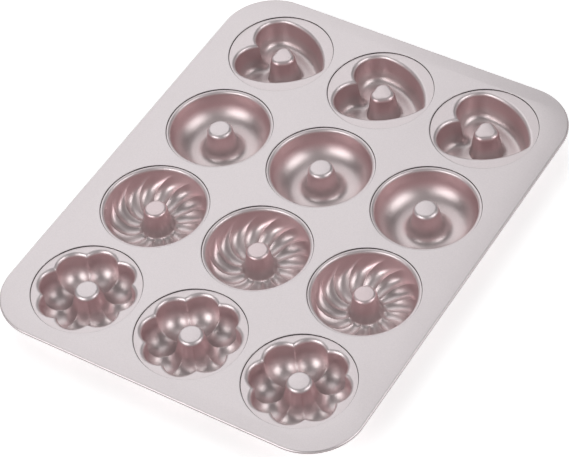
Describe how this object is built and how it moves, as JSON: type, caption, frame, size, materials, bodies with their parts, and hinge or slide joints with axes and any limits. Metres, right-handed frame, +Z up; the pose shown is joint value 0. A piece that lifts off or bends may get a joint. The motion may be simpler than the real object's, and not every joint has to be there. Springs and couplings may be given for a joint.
{
  "type": "doughnut pan",
  "caption": "Pressed steel doughnut pan with rounded corners and rows of heart, plain ring, swirl and flower cups, each with a middle post, for baking shaped doughnuts.",
  "frame": {"origin": "middle of the pan's outline, at the height of the undersides of the cups, which it stands on", "axes": "+X along the rows of three cups, +Y along the long side, from the flower cups to the hearts, +Z up, out of the cups"},
  "size_m": [0.275, 0.35, 0.0233],
  "materials": {
    "pan": "satin rose-champagne non-stick coating on steel sheet"
  },
  "bodies": {
    "root": {"pan": "pan"}
  },
  "joints": []
}
